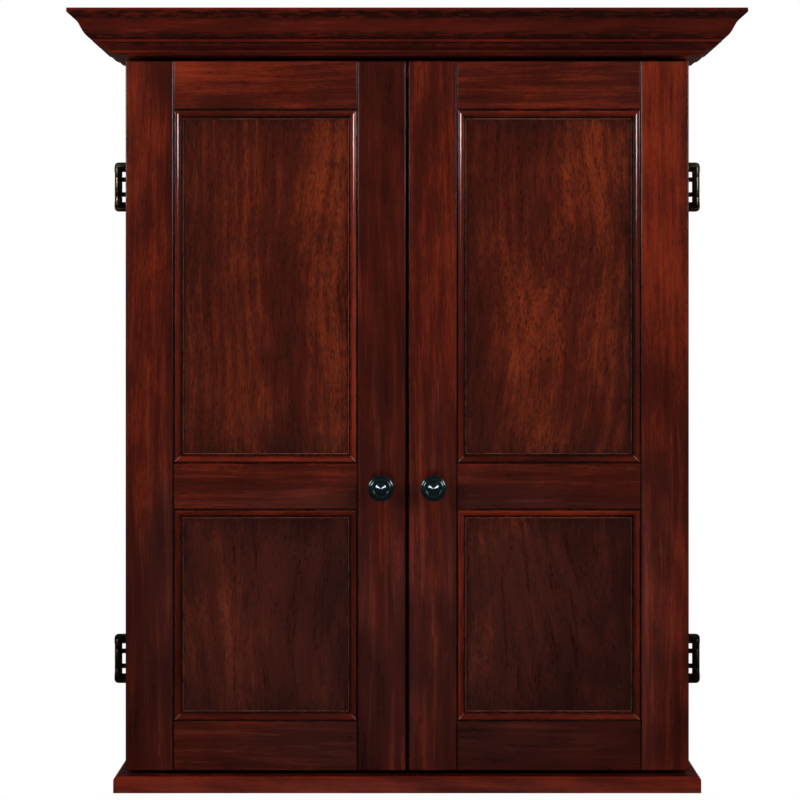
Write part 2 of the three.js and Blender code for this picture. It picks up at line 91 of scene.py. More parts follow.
def add_node(tree, kind, inputs=None, **settings):
    """Adds a node, sets its properties, and fills its inputs with values or links."""
    node = tree.nodes.new(kind)
    for key, value in settings.items():
        setattr(node, key, value)
    for key, value in (inputs or {}).items():
        socket = node.inputs[key]
        if isinstance(value, bpy.types.NodeSocket):
            tree.links.new(value, socket)
        else:
            socket.default_value = value
    return node


def new_material(name):
    """A material with a Principled shader; returns the material, its tree and the shader."""
    material = bpy.data.materials.new(name)
    material.use_nodes = True
    tree = material.node_tree
    return material, tree, tree.nodes["Principled BSDF"]


def add_ramp(tree, fac, stops):
    """A colour ramp with the given stops, each a place and a linear colour."""
    ramp = add_node(tree, "ShaderNodeValToRGB", {0: fac})
    elements = ramp.color_ramp.elements
    while len(elements) < len(stops):
        elements.new(0.5)
    for element, (place, colour) in zip(elements, stops):
        element.position = place
        element.color = colour
    return ramp.outputs[0]


def add_math(tree, operation, *values):
    """A Math node on the given values or links; returns its output."""
    node = add_node(tree, "ShaderNodeMath", dict(enumerate(values)), operation=operation)
    return node.outputs[0]


def add_stretched_noise(tree, vector, scale, detail=2.0, roughness=0.5):
    """Noise stretched along the grain: scale is (along, across, depth) in cycles a metre."""
    mapped = add_node(tree, "ShaderNodeVectorMath", {0: vector, 1: scale}, operation="MULTIPLY")
    settings = {"Vector": mapped.outputs[0], "Scale": 1.0, "Detail": detail}
    settings["Roughness"] = roughness
    return add_node(tree, "ShaderNodeTexNoise", settings)


# ---- Materials -------------------------------------------------------------------------------

# Colours of painted light: a near-black for painted shade, a pale tan for painted highlights.
PAINTED_SHADE_COLOUR = "#0d0705"
PAINTED_HIGHLIGHT_COLOUR = "#b98a70"


def add_tone(tree, start, weighted):
    """Adds up noises: each one's distance from its middle, 0.5, times its weight."""
    tone = start - 0.5 * sum(weight for _, weight in weighted)
    for value, weight in weighted:
        tone = add_math(tree, "MULTIPLY_ADD", value, weight, tone)
    return tone


def stained_mahogany(name, dark, middle, light, sweep, streak, pore, gloss, shine):
    """Hardwood stained red-brown under satin lacquer. Each board carries its own grain direction
    (attribute grain: metres along, across and into the board), its own tone (board), and its
    painted shading: above zero a painted shade that darkens grooves, corners and faces under
    ledges, below zero a pale painted highlight. sweep is how fast and how far the grain bends,
    streak and pore how strongly they show, gloss the roughness of the lacquer and shine how
    strongly it mirrors."""
    material, tree, shader = new_material(name)
    grain = add_node(tree, "ShaderNodeAttribute", attribute_name="grain").outputs["Vector"]
    board = add_node(tree, "ShaderNodeAttribute", attribute_name="board").outputs["Fac"]
    glaze = add_node(tree, "ShaderNodeAttribute", attribute_name="glaze").outputs["Fac"]

    spread = add_node(tree, "ShaderNodeCombineXYZ", {0: board, 1: board, 2: board}).outputs[0]
    place = add_node(tree, "ShaderNodeVectorMath", {0: spread, 1: (37.0, 11.0, 23.0), 2: grain},
                     operation="MULTIPLY_ADD").outputs[0]
    bend, reach = sweep
    drift = add_stretched_noise(tree, place, bend, 1.5, 0.45).outputs["Color"]
    centred = add_node(tree, "ShaderNodeVectorMath", {0: drift, 1: (0.5, 0.5, 0.5)},
                       operation="SUBTRACT").outputs[0]
    wander = add_node(tree, "ShaderNodeVectorMath", {0: centred, 1: (0.0, reach, reach)},
                      operation="MULTIPLY").outputs[0]
    bent = add_node(tree, "ShaderNodeVectorMath", {0: place, 1: wander}).outputs[0]
    ringed = add_node(tree, "ShaderNodeVectorMath", {0: grain, 1: wander}).outputs[0]

    # Growth rings: a board cut from a slightly tapering trunk shows long arches.
    parts = add_node(tree, "ShaderNodeSeparateXYZ", {0: ringed}).outputs
    taper = add_math(tree, "MULTIPLY_ADD", parts[0], 0.12, parts[2])
    from_pith = add_node(tree, "ShaderNodeCombineXYZ", {0: 0.0, 1: parts[1], 2: taper}).outputs[0]
    radius = add_node(tree, "ShaderNodeVectorMath", {0: from_pith}, operation="LENGTH")
    ring_spacing = 13 * MM
    phase = add_math(tree, "MULTIPLY", radius.outputs["Value"], 2 * math.pi / ring_spacing)
    rings = add_math(tree, "MULTIPLY_ADD", add_math(tree, "SINE", phase), 0.5, 0.5)

    figure = add_stretched_noise(tree, bent, (1.8, 15.0, 15.0), 2.0, 0.5).outputs["Fac"]
    streaks = add_stretched_noise(tree, bent, (7.0, 130.0, 130.0), 3.0, 0.6).outputs["Fac"]
    fibre = add_stretched_noise(tree, bent, (30.0, 620.0, 620.0), 2.0, 0.6).outputs["Fac"]
    mottle = add_stretched_noise(tree, place, (10.0, 15.0, 15.0), 5.0, 0.62).outputs["Fac"]
    # Real pores are about 0.2 mm wide; these are drawn up to 1 mm wide, so that they show.
    pores = add_stretched_noise(tree, bent, (140.0, 720.0, 720.0), 1.0, 0.5).outputs["Fac"]
    pores = add_node(tree, "ShaderNodeMapRange", {0: pores, 1: 0.54, 2: 0.63, 3: 0.0, 4: 1.0})
    pores = pores.outputs[0]

    tone = add_tone(tree, 0.5, [(figure, 0.70), (mottle, 0.66), (streaks, streak), (fibre, 0.34),
                                (rings, 0.07), (board, 0.34), (pores, -pore)])
    colour = add_ramp(tree, tone, [(0.12, linear(dark)), (0.5, linear(middle)),
                                   (0.9, linear(light))])
    # Painted shading: above zero the colour is mixed towards near-black as painted shade in
    # grooves, corners and under ledges; below zero towards pale as a painted highlight. Patch
    # noise breaks both up.
    patch = add_stretched_noise(tree, place, (70.0, 300.0, 300.0), 2.0, 0.6).outputs["Fac"]
    patch = add_node(tree, "ShaderNodeMapRange", {0: patch, 1: 0.42, 2: 0.54, 3: 0.35, 4: 1.0})
    patchy_shading = add_math(tree, "MULTIPLY", glaze, patch.outputs[0])
    shaded_colour = add_node(tree, "ShaderNodeMix", {0: patchy_shading, 6: colour, 7: linear(PAINTED_SHADE_COLOUR)},
                      data_type="RGBA").outputs[2]
    highlight_share = add_math(tree, "MULTIPLY", patchy_shading, -1.0)
    highlighted_colour = add_node(tree, "ShaderNodeMix", {0: highlight_share, 6: shaded_colour, 7: linear(PAINTED_HIGHLIGHT_COLOUR)},
                      data_type="RGBA").outputs[2]
    tree.links.new(highlighted_colour, shader.inputs["Base Color"])

    rough = add_node(tree, "ShaderNodeMapRange", {0: streaks, 1: 0.3, 2: 0.7, 3: gloss - 0.04,
                                                  4: gloss + 0.07})
    rough = add_math(tree, "MULTIPLY_ADD", patchy_shading, 0.12, rough.outputs[0])
    tree.links.new(rough, shader.inputs["Roughness"])
    relief = add_math(tree, "MULTIPLY_ADD", pores, -0.7, fibre)
    bump = add_node(tree, "ShaderNodeBump", {"Height": relief, "Distance": 0.05 * MM,
                                             "Strength": 0.5})
    tree.links.new(bump.outputs[0], shader.inputs["Normal"])
    shader.inputs["IOR"].default_value = 1.5
    shader.inputs["Specular IOR Level"].default_value = shine
    shader.inputs["Coat Weight"].default_value = 0.3
    shader.inputs["Coat Roughness"].default_value = 0.12
    return material


def plated_metal(name, base, worn, roughness, coat, metal=1.0):
    """Plated metal, under lacquer where coat says so: a little lighter in rubbed patches, with a
    faint unevenness that breaks up its reflections. metal is below 1 for an oxidised plating."""
    material, tree, shader = new_material(name)
    place = add_node(tree, "ShaderNodeTexCoord").outputs["Object"]
    cloud = add_node(tree, "ShaderNodeTexNoise", {"Vector": place, "Scale": 90.0, "Detail": 4.0})
    colour = add_ramp(tree, cloud.outputs["Fac"], [(0.35, linear(base)), (0.75, linear(worn))])
    tree.links.new(colour, shader.inputs["Base Color"])
    fine = add_node(tree, "ShaderNodeTexNoise", {"Vector": place, "Scale": 900.0, "Detail": 2.0})
    rough = add_node(tree, "ShaderNodeMapRange", {0: fine.outputs["Fac"], 1: 0.3, 2: 0.7,
                                                  3: roughness - 0.04, 4: roughness + 0.06})
    tree.links.new(rough.outputs[0], shader.inputs["Roughness"])
    bump = add_node(tree, "ShaderNodeBump", {"Height": fine.outputs["Fac"],
                                             "Distance": 0.01 * MM, "Strength": 0.3})
    tree.links.new(bump.outputs[0], shader.inputs["Normal"])
    shader.inputs["Metallic"].default_value = metal
    shader.inputs["Coat Weight"].default_value = coat
    shader.inputs["Coat Roughness"].default_value = 0.08
    return material


def chalkboard_paint():
    """Matt black chalk paint on board, with the pale haze that a wiped chalk slate keeps."""
    material, tree, shader = new_material("chalkboard_paint")
    place = add_node(tree, "ShaderNodeTexCoord").outputs["Object"]
    wipes = add_stretched_noise(tree, place, (9.0, 9.0, 3.0), 5.0, 0.65).outputs["Fac"]
    grit = add_node(tree, "ShaderNodeTexNoise", {"Vector": place, "Scale": 1400.0}).outputs["Fac"]
    haze = add_math(tree, "MULTIPLY_ADD", grit, 0.25, wipes)
    colour = add_ramp(tree, haze, [(0.45, linear("#151716")), (0.95, linear("#3c403e"))])
    tree.links.new(colour, shader.inputs["Base Color"])
    bump = add_node(tree, "ShaderNodeBump", {"Height": grit, "Distance": 0.05 * MM,
                                             "Strength": 0.5})
    tree.links.new(bump.outputs[0], shader.inputs["Normal"])
    shader.inputs["Roughness"].default_value = 0.85
    return material


def moulded_plastic():
    """Brown moulded plastic of the magnetic catches, with a fine spark-eroded grain."""
    material, tree, shader = new_material("brown_moulded_plastic")
    place = add_node(tree, "ShaderNodeTexCoord").outputs["Object"]
    grain = add_node(tree, "ShaderNodeTexNoise", {"Vector": place, "Scale": 2200.0}).outputs["Fac"]
    colour = add_ramp(tree, grain, [(0.3, linear("#24160f")), (0.7, linear("#2e1d14"))])
    tree.links.new(colour, shader.inputs["Base Color"])
    bump = add_node(tree, "ShaderNodeBump", {"Height": grain, "Distance": 0.03 * MM,
                                             "Strength": 0.4})
    tree.links.new(bump.outputs[0], shader.inputs["Normal"])
    shader.inputs["Roughness"].default_value = 0.5
    return material


# How the grain bends: the bends' noise scale in cycles a metre, and their reach in metres.
STRAIGHT = ((1.6, 6.0, 6.0), 0.030)
SWEEPING = ((3.0, 4.0, 4.0), 0.100)

# The frame is sprayed to a satin; the mouldings were rubbed to a gloss that draws bright lines
# along them; the panels show open pores and a browner stain; the case is plainer inside.
FRAME_WOOD = stained_mahogany("satin_lacquered_mahogany_frame", "#1b0806", "#3a110a", "#6d2310",
                              sweep=STRAIGHT, streak=0.60, pore=0.10, gloss=0.24,
                              shine=0.14)
MOULDING_WOOD = stained_mahogany("glossy_lacquered_mahogany_moulding", "#240a07", "#4a150d",
                                 "#802914", sweep=STRAIGHT, streak=0.45, pore=0.06, gloss=0.11,
                                 shine=0.30)
PANEL_WOOD = stained_mahogany("satin_lacquered_mahogany_panel", "#200906", "#40140b", "#782e14",
                              sweep=SWEEPING, streak=0.32, pore=0.20, gloss=0.28, shine=0.12)
CASE_WOOD = stained_mahogany("satin_lacquered_mahogany_case", "#210a07", "#40150d", "#6c2613",
                             sweep=STRAIGHT, streak=0.40, pore=0.08, gloss=0.30, shine=0.14)
# Oxidised nickel under lacquer is nearly black with a blue-green cast; the hinges' antique bronze
# is a brown-black with rubbed, paler patches; the zinc on the fittings inside is bright.
BLACK_NICKEL = plated_metal("black_nickel_knob_plating", "#1f2e31", "#2b3b3e", 0.20, 0.3,
                            metal=0.75)
ANTIQUE_BRONZE = plated_metal("antique_bronze_hinge_plating", "#2a2720", "#4f4836", 0.30, 0.0)
ZINC_STEEL = plated_metal("bright_zinc_plated_steel", "#9a9b99", "#b9bab6", 0.28, 0.0)
CHALK_SLATE = chalkboard_paint()
BROWN_PLASTIC = moulded_plastic()


# ---- Mesh tools ------------------------------------------------------------------------------

def new_object(name, mesh, material):
    """An object at the origin, with one material, in the scene."""
    mesh.materials.clear()
    mesh.materials.append(material)
    obj = bpy.data.objects.new(name, mesh)
    bpy.context.scene.collection.objects.link(obj)
    return obj


def shade_by_angle(mesh, degrees=32):
    """Smooth shading, broken at edges that turn more than the given angle."""
    bm = bmesh.new()
    bm.from_mesh(mesh)
    limit = math.radians(degrees)
    for face in bm.faces:
        face.smooth = True
    for edge in bm.edges:
        edge.smooth = edge.is_manifold and edge.calc_face_angle() < limit
    bm.to_mesh(mesh)
    bm.free()


def clean_copy(node, bevel, segments=2, cuts=()):
    """A merged copy of a CAD node's mesh with softened edges. cuts are planes, each an axis and
    a place, that add edge loops for the shading attributes to follow."""
    bm = bmesh.new()
    bm.from_mesh(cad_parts[node].data)
    bmesh.ops.remove_doubles(bm, verts=bm.verts, dist=0.002 * MM)
    bmesh.ops.dissolve_limit(bm, angle_limit=math.radians(1), verts=bm.verts, edges=bm.edges)
    if bevel:
        sharp = [e for e in bm.edges if e.is_manifold and e.calc_face_angle() > math.radians(28)]
        bmesh.ops.bevel(bm, geom=sharp, offset=bevel, segments=segments, profile=0.5,
                        affect="EDGES", clamp_overlap=True)
    for axis, at in cuts:
        normal = Vector((0, 0, 0))
        normal[axis] = 1
        geom = bm.verts[:] + bm.edges[:] + bm.faces[:]
        bmesh.ops.bisect_plane(bm, geom=geom, plane_co=normal * at, plane_no=normal)
    mesh = bpy.data.meshes.new(node)
    bm.to_mesh(mesh)
    bm.free()
    return mesh


def pick_seed(name):
    """The same random numbers for the same name on every run."""
    return random.Random(sum((i + 1) * ord(c) for i, c in enumerate(name)))


# How light each board is, from 0 to 1, set board by board: partly the wood's own tone, partly
# painted light, as the right stiles are set lighter and the lower boards mostly darker to follow
# how the light falls. Boards not named here are drawn.
SHADES = {
    "left_outer_stile": 0.35, "left_inner_stile": 0.22, "left_top_rail": 0.54,
    "left_middle_rail": 0.62, "left_bottom_rail": 0.30, "left_upper_panel": 0.30,
    "left_lower_panel": 0.20, "right_outer_stile": 0.75, "right_inner_stile": 0.45,
    "right_top_rail": 0.42, "right_middle_rail": 0.25, "right_bottom_rail": 0.15,
    "right_upper_panel": 0.42, "right_lower_panel": 0.0, "base_board": 0.75,
    "crown_front": 0.25, "crown_left": 0.25, "crown_right": 0.25,
}


def mark_grain(mesh, axes, name, centre=None, glaze=None, first_face=0, last_face=None):
    """Writes the grain, board and painted shading attributes of the faces from first to last. axes
    are the axes along, across and into the board; the shading function takes a place and a face's
    normal and gives painted shade above zero, a pale painted highlight below zero."""
    draw = pick_seed(name)
    centre = centre or sum((v.co for v in mesh.vertices), Vector()) / len(mesh.vertices)
    shift = (draw.uniform(-1.5, 1.5), draw.uniform(-0.03, 0.03), draw.uniform(0.02, 0.06))
    shade = SHADES.get(name, draw.random())
    kinds = {"grain": "FLOAT_VECTOR", "board": "FLOAT", "glaze": "FLOAT"}
    for layer, kind in kinds.items():
        if layer not in mesh.attributes:
            mesh.attributes.new(layer, kind, "CORNER")
    grain, board, dark = [mesh.attributes[layer].data for layer in kinds]
    for face in mesh.polygons[first_face:last_face]:
        for loop in face.loop_indices:
            at = mesh.vertices[mesh.loops[loop].vertex_index].co
            local = [at[axis] - centre[axis] + off for axis, off in zip(axes, shift)]
            grain[loop].vector = local
            board[loop].value = shade
            # The painted shading: painted shade above zero, painted highlight below zero.
            dark[loop].value = glaze(at, face.normal) if glaze else 0.0


def place_piece(obj, body, slot, *nodes):
    """Hands a finished piece over to its body and hides the CAD nodes it stands for; slot, its
    finish, is not used.
    """
    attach(obj, body)
    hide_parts(*nodes)


def body_of_side(side):
    return side + "_door"


# ---- Boards ----------------------------------------------------------------------------------

UPRIGHT = (Z, X, Y)  # grain runs up the board
LYING = (X, Z, Y)  # grain runs from side to side
ROUND_EDGE = 0.35 * MM


def add_case_boards():
    """The boards of the case, which don't move. Each keeps its CAD shape, with eased edges."""
    grains = {
        "left_side": (Z, Y, X), "right_side": (Z, Y, X), "back_panel": UPRIGHT,
        "top_board": (X, Y, Z), "bottom_board": (X, Y, Z), "head_rail": LYING,
        "top_cap": (X, Y, Z), "hanging_rail": LYING, "board_batten": LYING,
    }
    for node, axes in grains.items():
        mesh = clean_copy(node, ROUND_EDGE)
        shade_by_angle(mesh)
        mark_grain(mesh, axes, node)
        obj = new_object(node + "_wood", mesh, CASE_WOOD)
        place_piece(obj, "cabinet", "mahogany_case", node)


def groove_painted_shade(face_y):
    """Painted shade: darkens the small chamfers round a door board's front face, in the grooves
    between boards and along the doors' edges, where shade falls.
    """
    depth = 0.95 * MM

    def glaze(at, normal):
        in_chamfer = at.y < face_y + depth and 0.2 < -normal.y < 0.97
        return 0.85 if in_chamfer else 0.0
    return glaze


def add_door_boards(side):
    """The stiles and rails of one door."""
    boards = {"outer_stile": UPRIGHT, "inner_stile": UPRIGHT, "top_rail": LYING,
              "middle_rail": LYING, "bottom_rail": LYING}
    for piece, axes in boards.items():
        node = f"{side}_{piece}"
        mesh = clean_copy(node, 0.4 * MM, segments=3)
        shade_by_angle(mesh)
        mark_grain(mesh, axes, node, glaze=groove_painted_shade(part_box(node)[0].y))
        obj = new_object(node + "_wood", mesh, FRAME_WOOD)
        place_piece(obj, body_of_side(side), "mahogany_frame", node)


def add_panel(side, place):
    """A flat panel whose shown face darkens towards its edges with painted shade, where the bead's
    recess shades it.
    """
    node = f"{side}_{place}_panel"
    low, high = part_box(node)
    bead_low, bead_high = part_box(f"{side}_{place}_bead")
    bead_width = BEAD_WIDTH * MM
    edge_x = (bead_low.x + bead_width, bead_high.x - bead_width)
    edge_z = (bead_low.z + bead_width, bead_high.z - bead_width)
    cuts = []
    for step in (0, 1.5, 4, 8, 14, 22, 34, 50):
        inset = step * MM
        cuts += [(X, edge_x[0] + inset), (X, edge_x[1] - inset)]
        cuts += [(Z, edge_z[0] + inset), (Z, edge_z[1] - inset)]
    mesh = clean_copy(node, 0, cuts=cuts)

    # Painted shade: strongest at the bead, fading over some 50 mm into the panel.
    def glaze(at, normal):
        inside = min(at.x - edge_x[0], edge_x[1] - at.x, at.z - edge_z[0], edge_z[1] - at.z)
        shown = normal.y < -0.5 and inside > -0.2 * MM
        if not shown:
            return 0.3
        inside = max(inside, 0)
        return 0.42 * math.exp(-inside / (12 * MM)) + 0.25 * math.exp(-inside / (50 * MM))
    mark_grain(mesh, UPRIGHT, node, centre=(low + high) / 2, glaze=glaze)
    obj = new_object(node + "_wood", mesh, PANEL_WOOD)
    place_piece(obj, body_of_side(side), "mahogany_panel", node)


def add_base_board():
    """One board with a rounded-over top edge at the front and both ends."""
    node = "base_board"
    low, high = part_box(node)
    ease = 4.3 * MM
    steps = 10
    rings = [(low.z, ROUND_EDGE), (low.z + ROUND_EDGE, 0)]
    for step in range(steps + 1):
        turn = step / steps * math.pi / 2
        rings.append((high.z - ease * (1 - math.sin(turn)), ease * (1 - math.cos(turn))))
    bm = bmesh.new()
    loops = []
    for z, inset in rings:
        corners = [(low.x + inset, high.y), (low.x + inset, low.y + inset),
                   (high.x - inset, low.y + inset), (high.x - inset, high.y)]
        loops.append([bm.verts.new((x, y, z)) for x, y in corners])
    for lower, upper in zip(loops, loops[1:]):
        for i in range(4):
            j = (i + 1) % 4
            bm.faces.new((lower[i], lower[j], upper[j], upper[i]))
    bm.faces.new(loops[0][::-1])
    bm.faces.new(loops[-1])
    bmesh.ops.recalc_face_normals(bm, faces=bm.faces)
    mesh = bpy.data.meshes.new(node)
    bm.to_mesh(mesh)
    bm.free()
    shade_by_angle(mesh)

    # Painted shadow: the whole flat top is darkened as if shaded by the doors above it.
    def glaze(at, normal):
        return 0.85 if normal.z > 0.98 else 0.0
    mark_grain(mesh, LYING, node, glaze=glaze)
    obj = new_object("base_board_wood", mesh, MOULDING_WOOD)
    place_piece(obj, "cabinet", "mahogany_crown", node)


# ---- Mouldings -------------------------------------------------------------------------------

def moulding_tree():
    """Runs a flat section along a straight line and cuts both ends at a mitre. A mitre of 1
    makes the run longer by as much as a point stands outwards, -1 shorter, 0 leaves it square."""
    tree = bpy.data.node_groups.new("mitred_moulding_run", "GeometryNodeTree")
    sockets = tree.interface
    for name, kind in (("Section", "NodeSocketObject"), ("Start", "NodeSocketVector"),
                       ("Run", "NodeSocketVector"), ("Outwards", "NodeSocketVector"),
                       ("Mitre at start", "NodeSocketFloat"),
                       ("Mitre at end", "NodeSocketFloat"), ("Wood", "NodeSocketMaterial")):
        sockets.new_socket(name, in_out="INPUT", socket_type=kind)
    sockets.new_socket("Geometry", in_out="OUTPUT", socket_type="NodeSocketGeometry")
    given = add_node(tree, "NodeGroupInput").outputs
    section = add_node(tree, "GeometryNodeObjectInfo", {"Object": given["Section"]})
    section = section.outputs["Geometry"]
    drawn = add_node(tree, "GeometryNodeExtrudeMesh",
                     {"Mesh": section, "Offset": given["Run"], "Individual": False})
    flipped = add_node(tree, "GeometryNodeFlipFaces", {"Mesh": section}).outputs[0]
    joined = add_node(tree, "GeometryNodeJoinGeometry")
    tree.links.new(drawn.outputs["Mesh"], joined.inputs[0])
    tree.links.new(flipped, joined.inputs[0])
    welded = add_node(tree, "GeometryNodeMergeByDistance",
                      {"Geometry": joined.outputs[0], "Distance": 1e-6}).outputs[0]
    position = add_node(tree, "GeometryNodeInputPosition").outputs[0]
    local = add_node(tree, "ShaderNodeVectorMath", {0: position, 1: given["Start"]},
                     operation="SUBTRACT").outputs[0]
    out = add_node(tree, "ShaderNodeVectorMath", {0: local, 1: given["Outwards"]},
                   operation="DOT_PRODUCT").outputs["Value"]
    along = add_node(tree, "ShaderNodeVectorMath", {0: local, 1: given["Run"]},
                     operation="DOT_PRODUCT").outputs["Value"]
    at_end = add_math(tree, "GREATER_THAN", along, 1e-6)
    mitre = add_node(tree, "ShaderNodeMix", {0: at_end, 2: given["Mitre at start"],
                                             3: given["Mitre at end"]}).outputs[0]
    shift = add_math(tree, "MULTIPLY", out, mitre)
    direction = add_node(tree, "ShaderNodeVectorMath", {0: given["Run"]},
                         operation="NORMALIZE").outputs[0]
    offset = add_node(tree, "ShaderNodeVectorMath", {0: direction, "Scale": shift},
                      operation="SCALE").outputs[0]
    moved = add_node(tree, "GeometryNodeSetPosition", {"Geometry": welded, "Offset": offset})
    real = add_node(tree, "GeometryNodeRealizeInstances", {0: moved.outputs[0]}).outputs[0]
    painted = add_node(tree, "GeometryNodeSetMaterial",
                       {"Geometry": real, "Material": given["Wood"]}).outputs[0]
    add_node(tree, "NodeGroupOutput", {0: painted})
    return tree


def run_tree(tree, **values):
    """Evaluates a Geometry Nodes tree once and returns the result as a plain mesh."""
    holder = bpy.data.objects.new("holder", bpy.data.meshes.new("holder"))
    bpy.context.scene.collection.objects.link(holder)
    modifier = holder.modifiers.new("tree", "NODES")
    modifier.node_group = tree
    for item in tree.interface.items_tree:
        key = item.name.lower().replace(" ", "_")
        if item.item_type == "SOCKET" and item.in_out == "INPUT" and key in values:
            modifier[item.identifier] = values[key]
    graph = bpy.context.evaluated_depsgraph_get()
    mesh = bpy.data.meshes.new_from_object(holder.evaluated_get(graph))
    holder.modifiers.remove(modifier)
    bpy.data.objects.remove(holder)
    return mesh


def flat_section(outline, start, outwards, upwards):
    """The section as one flat face: outline points are (outwards, upwards) in metres."""
    bm = bmesh.new()
    points = [start + outwards * out + upwards * up for out, up in outline]
    bm.faces.new([bm.verts.new(point) for point in points])
    mesh = bpy.data.meshes.new("section")
    bm.to_mesh(mesh)
    bm.free()
    section = bpy.data.objects.new("section", mesh)
    bpy.context.scene.collection.objects.link(section)
    return section


def bezier(p0, p1, p2, p3, count):
    """Points after the first on a cubic curve."""
    points = []
    for i in range(1, count + 1):
        t = i / count
        weights = ((1 - t) ** 3, 3 * t * (1 - t) ** 2, 3 * t * t * (1 - t), t ** 3)
        points.append(tuple(sum(w * p[k] for w, p in zip(weights, (p0, p1, p2, p3)))
                            for k in (0, 1)))
    return points


def cut_across(mesh, planes):
    """Adds an edge loop where each plane, a point and a normal, crosses the mesh."""
    bm = bmesh.new()
    bm.from_mesh(mesh)
    for point, normal in planes:
        geom = bm.verts[:] + bm.edges[:] + bm.faces[:]
        bmesh.ops.bisect_plane(bm, geom=geom, plane_co=point, plane_no=normal.normalized())
    bm.to_mesh(mesh)
    bm.free()


def join_runs(name, runs, material, painted_shading_of=None):
    """Joins mitred runs, each a mesh with its grain axes, into one mesh with its attributes."""
    bm = bmesh.new()
    spans = []
    for mesh, axes, label in runs:
        first = len(bm.faces)
        bm.from_mesh(mesh)
        bm.faces.ensure_lookup_table()
        spans.append((first, len(bm.faces), axes, label))
    bmesh.ops.recalc_face_normals(bm, faces=bm.faces)
    joined = bpy.data.meshes.new(name)
    bm.to_mesh(joined)
    bm.free()
    shade_by_angle(joined, 25)
    for first, last, axes, label in spans:
        mark_grain(joined, axes, label, glaze=painted_shading_of, first_face=first, last_face=last)
    return new_object(name, joined, material)


def crown_outline():
    """The crown's section in mm: lower fillet, cove, middle fillet, belly, hollow, top fillet."""
    points = [(0, 0), (9.6, 0), (9.6, 1.0), (15.4, 2.4), (15.4, 4.9), (18.6, 5.3)]
    points += bezier((18.6, 5.3), (22.4, 6.0), (25.0, 8.2), (26.2, 11.2), 8)
    points += [(29.4, 11.6), (29.4, 14.2)]
    points += bezier((29.4, 14.2), (36.2, 15.2), (39.2, 22.4), (41.8, 27.6), 14)
    points += bezier((41.8, 27.6), (43.9, 31.8), (48.4, 34.8), (51.8, 38.6), 12)
    lip, top = CROWN_PROJECTION, CROWN_HEIGHT
    points += [(lip - 0.2, 38.9), (lip, 39.2), (lip, 40.6), (lip, 41.2)]
    points += [(lip, top - 0.2), (lip - 0.2, top), (0, top)]
    return [(out * MM, up * MM) for out, up in points]


def add_crown(tree):
    """The front run and two side returns, mitred where they meet."""
    up = Vector((0, 0, 1))
    outline = crown_outline()
    low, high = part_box("crown_front")
    projection = CROWN_PROJECTION * MM
    mitre_gap = 0.1 * MM
    half = high.x - projection
    front = low.y + projection
    # name: start of the run, its far end, outwards, mitre at start and end
    runs = {
        "crown_front": (Vector((-half, front, low.z)), Vector((half, front, low.z)),
                        Vector((0, -1, 0)), -1, 1, LYING),
        "crown_left": (Vector((-half, 0, low.z)), Vector((-half, front + mitre_gap, low.z)),
                       Vector((-1, 0, 0)), 0, 1, (Y, Z, X)),
        "crown_right": (Vector((half, 0, low.z)), Vector((half, front + mitre_gap, low.z)),
                        Vector((1, 0, 0)), 0, 1, (Y, Z, X)),
    }
    for name, (start, end, outwards, mitre_start, mitre_end, axes) in runs.items():
        section = flat_section(outline, start, outwards, up)
        mesh = run_tree(tree, section=section, start=start, run=end - start,
                        outwards=outwards, mitre_at_start=float(mitre_start),
                        mitre_at_end=float(mitre_end), wood=MOULDING_WOOD)
        bpy.data.objects.remove(section)
        obj = join_runs(name + "_moulding", [(mesh, axes, name)], MOULDING_WOOD, crown_painted_shade(low))
        place_piece(obj, "cabinet", "mahogany_crown", name)


def between(at, table):
    """The value at a place in a table of (place, value), straight between its rows."""
    for (place, value), (next_place, next_value) in zip(table, table[1:]):
        if at <= next_place:
            share = (at - place) / (next_place - place)
            return value + (next_value - value) * min(1, max(0, share))
    return table[-1][1]


def crown_painted_shade(low):
    """Painted shade darkens the crown by height, most in its coves and under its ledges, and not
    on the upright lower fillets or the top face.
    """
    by_height = ((0, 0.4), (5.0, 0.4), (5.4, 0.55), (11.0, 0.6), (11.5, 0.9), (14.2, 0.85),
                 (18.5, 0.7), (22, 0.15), (31.5, 0.1), (34.5, 0.8), (40.6, 0.85), (41.2, 0.0))

    def glaze(at, normal):
        height = (at.z - low.z) / MM
        lower_fillet = height < 30 and abs(normal.z) < 0.1
        top = normal.z > 0.9
        return 0.0 if lower_fillet or top else between(height, by_height)
    return glaze


def bead_outline():
    """The bead's section in mm, inwards from the frame's edge and down from the door's face:
    a groove, a rounded crest that rolls down towards the panel, and a second groove."""
    points = [(0, 1.5), (0.9, 1.6)]
    points += bezier((0.9, 1.6), (1.0, 0.9), (1.3, 0.55), (1.9, 0.55), 6)
    points += bezier((1.9, 0.55), (3.9, 0.75), (6.2, 2.2), (7.5, 5.0), 14)
    points += [(7.7, 6.3), (8.7, 6.35), (8.9, 5.9), (9.2, 5.75), (BEAD_WIDTH, 6.1)]
    points += [(BEAD_WIDTH, 6.7), (0, 6.7)]
    return [(inwards * MM, down * MM) for inwards, down in points]


